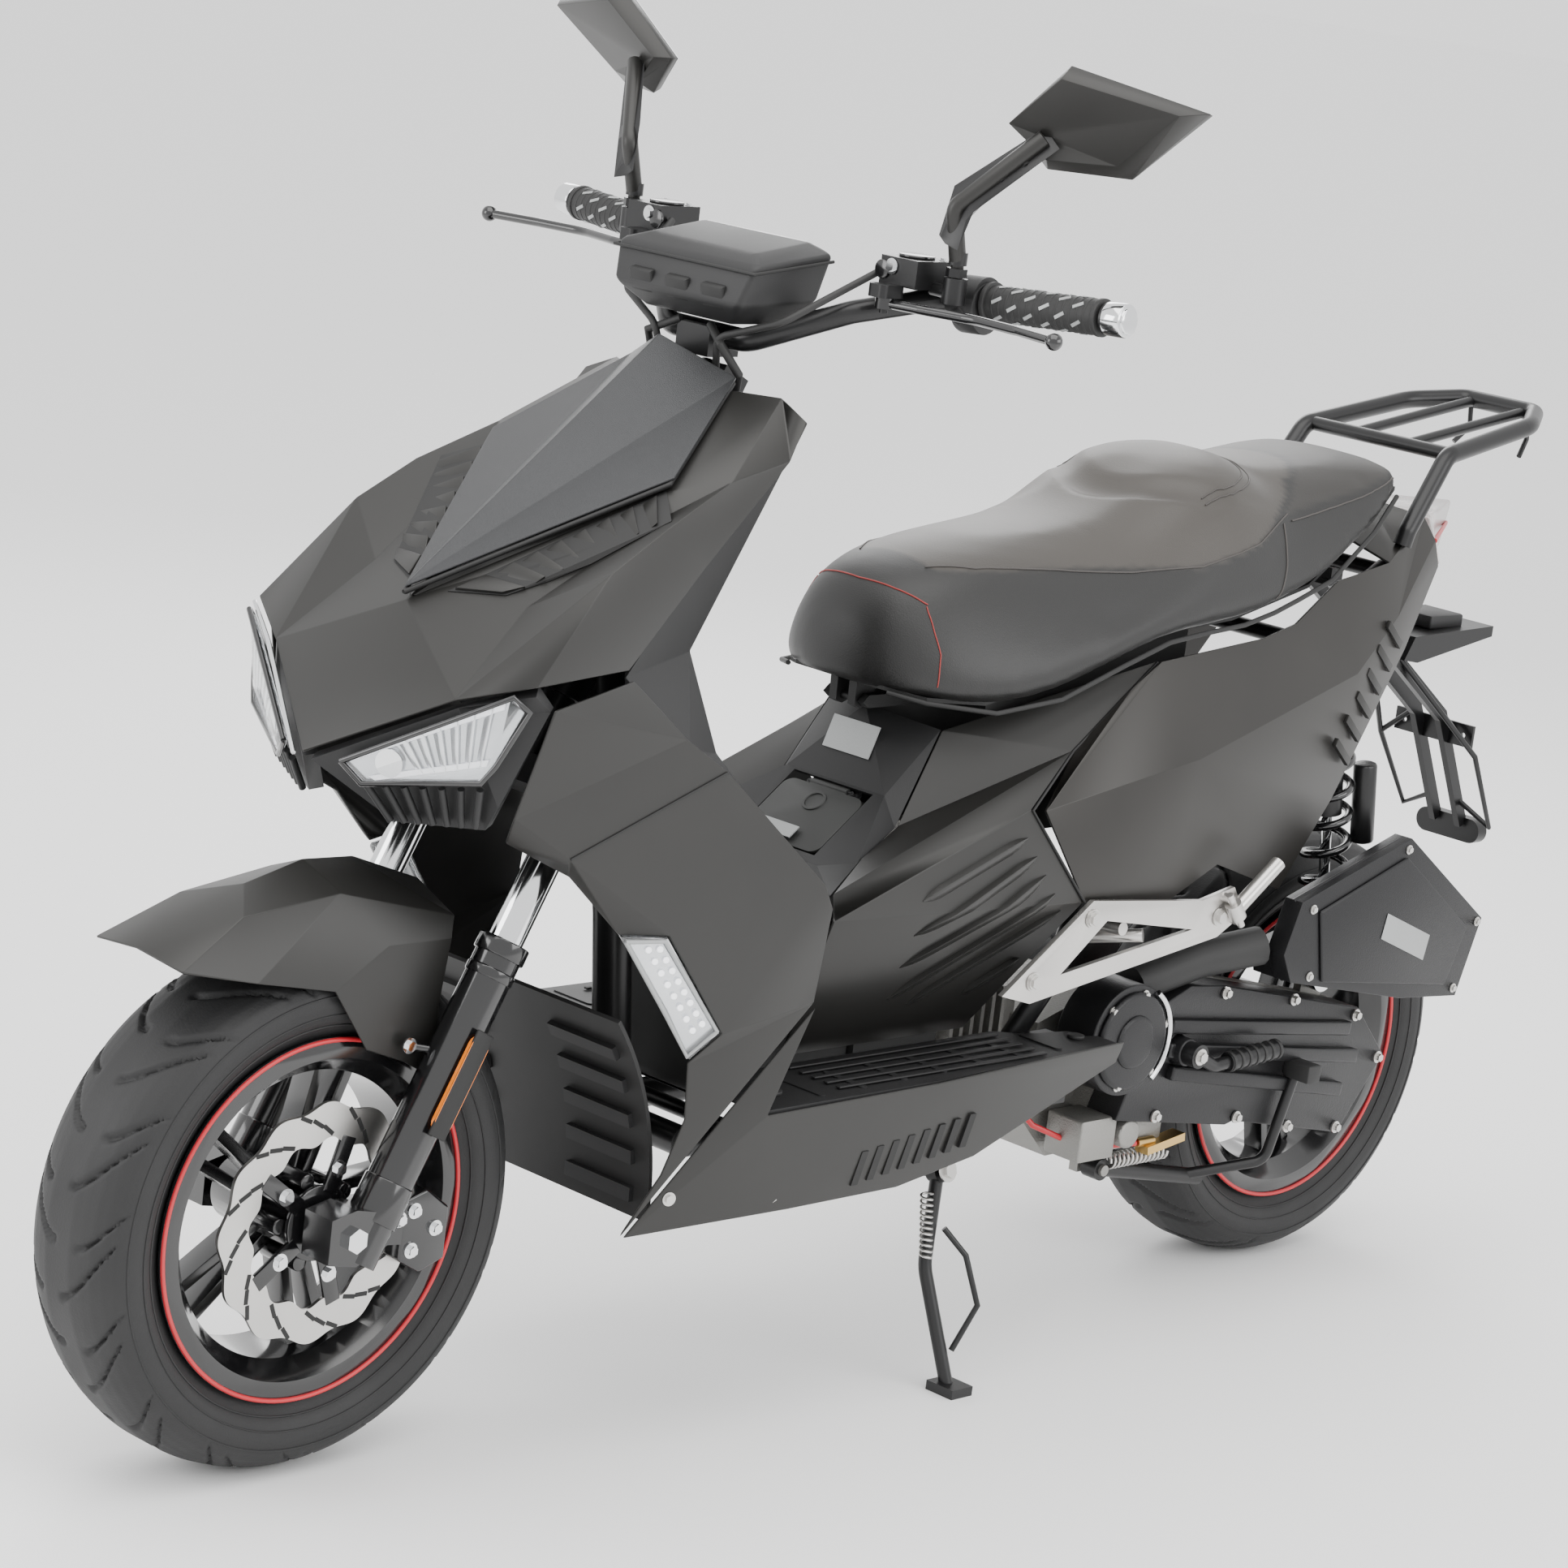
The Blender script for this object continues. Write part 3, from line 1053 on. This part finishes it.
# plate bracket wires, pill reflector face
for side in (1, -1):
    tube("bracket_wire_" + str(side), [(side * 20, 800, 676), (side * 68, 905, 566),
                                       (side * 62, 962, 478), (side * 20, 955, 500)], 3.2, FRAME,
         "chassis")
    tube("bracket_wire_b_" + str(side), [(side * 20, 900, 604), (side * 68, 905, 566)], 3.2,
         FRAME, "chassis")
    tube("rack_hook_" + str(side), [(side * 40, 944, 955), (side * 40, 948, 926),
                                    (side * 46, 930, 908)], 3.0, FRAME, "chassis")
bm = bmesh.new()
for x in range(-32, 33, 16):
    cyl(bm, (x, 984.6, 465), (0, 1, 0), 9.5, 1.2, 6)
from_bmesh("rear_reflector_face", bm, RED, "chassis")
bm = bmesh.new()
block(bm, (0, 868, 716), (56, 60, 16))
bevelled(from_bmesh("plate_lamp", bm, TRIM, "chassis"), 3.0)
tube("tail_lamp_line", [(90, 735, 826), (0, 876, 824), (-90, 735, 826)], 3.0, RED, "chassis")

# fuse box and breather under the floor, left side
bm = bmesh.new()
block(bm, (120, 150, 300), (40, 60, 70))
bevelled(from_bmesh("junction_box", bm, TRIM, "chassis"), 3.0)
bm = bmesh.new()
block(bm, (141, 152, 304), (1.5, 20, 40))
from_bmesh("junction_label", bm, PLATE, "chassis")

# floorboard ribs and round caps
for side in (1, -1):
    bm = bmesh.new()
    for k in range(5):
        x = 112 + 17 * k
        block(bm, (side * x, -60, 341.2), (6, 300, 2.4))
    bevelled(from_bmesh("floor_ribs_%d" % side, bm, TRIM, "chassis"), 1.0)
    bm = bmesh.new()
    cyl(bm, (side * 160, -285, 341), (0, 0, 1), 14, 4, 28)
    cyl(bm, (side * 150, 170, 341), (0, 0, 1), 9, 4, 28)
    bevelled(from_bmesh("floor_caps_%d" % side, bm, RUBBER, "chassis"), 1.0)
    bm = bmesh.new()
    bolt(bm, (side * 189, -430, 262), (side, -0.3, 0), 4.5, 3)
    bolt(bm, (side * 196, -300, 248), (side, -0.2, 0), 4.5, 3)
    from_bmesh("skirt_screws_%d" % side, bm, STEEL, "chassis")

# ------------------------------------------------------------------ floor, light, camera
def stage_plane():
    bm = bmesh.new()
    bmesh.ops.create_grid(bm, x_segments=1, y_segments=1, size=30)
    mesh = bpy.data.meshes.new("floor")
    bm.to_mesh(mesh)
    bm.free()
    obj = bpy.data.objects.new("floor", mesh)
    bpy.context.scene.collection.objects.link(obj)
    floor = bpy.data.materials.new("floor_white")
    floor.use_nodes = True
    floor.node_tree.nodes["Principled BSDF"].inputs["Base Color"].default_value = (0.97, 0.97, 0.97, 1)
    floor.node_tree.nodes["Principled BSDF"].inputs["Roughness"].default_value = 0.6
    mesh.materials.append(floor)


stage_plane()
world = bpy.data.worlds.new("world") if bpy.context.scene.world is None else bpy.context.scene.world
bpy.context.scene.world = world
world.use_nodes = True
world.node_tree.nodes["Background"].inputs["Color"].default_value = (1.0, 1.0, 1.0, 1)
world.node_tree.nodes["Background"].inputs["Strength"].default_value = 1.5


def area_light(name, place, target, size, power, tint=(1, 1, 1)):
    data = bpy.data.lights.new(name, "AREA")
    data.shape = "RECTANGLE"
    data.size, data.size_y = size
    data.energy = power
    data.color = tint
    obj = bpy.data.objects.new(name, data)
    obj.location = place
    obj.rotation_euler = (Vector(target) - Vector(place)).to_track_quat("-Z", "Y").to_euler()
    bpy.context.scene.collection.objects.link(obj)


area_light("key_top", (0.6, -0.9, 3.4), (0, -0.1, 0.6), (3.4, 3.0), 95, (1.0, 0.99, 0.97))
area_light("left_strip", (3.4, 0.9, 1.9), (0, 0, 0.6), (2.6, 1.6), 55)
area_light("front_strip", (-1.6, -3.6, 1.7), (0, -0.4, 0.8), (1.8, 1.8), 50)
area_light("back_rim", (-2.6, 2.4, 2.4), (0, 0, 0.8), (2.0, 1.6), 45)

yaw, pitch, roll = math.radians(43.6), math.radians(12.8), math.radians(7.0)
away = Vector((math.sin(yaw) * math.cos(pitch), -math.cos(yaw) * math.cos(pitch), math.sin(pitch)))
right = (-away).cross(Vector((0, 0, 1))).normalized()
up = right.cross(-away)
right, up = (right * math.cos(roll) + up * math.sin(roll),
             up * math.cos(roll) - right * math.sin(roll))
camera = bpy.data.cameras.new("camera")
camera.lens = 104.74
camera.sensor_width = 36
camera.shift_y = 0.0268
cam = bpy.data.objects.new("camera", camera)
cam.matrix_world = Matrix.Translation(V(1.7, -141, 550.1) + away * 4.4905) @ Matrix(
    (right, up, away)).transposed().to_4x4()
bpy.context.scene.collection.objects.link(cam)
bpy.context.scene.camera = cam
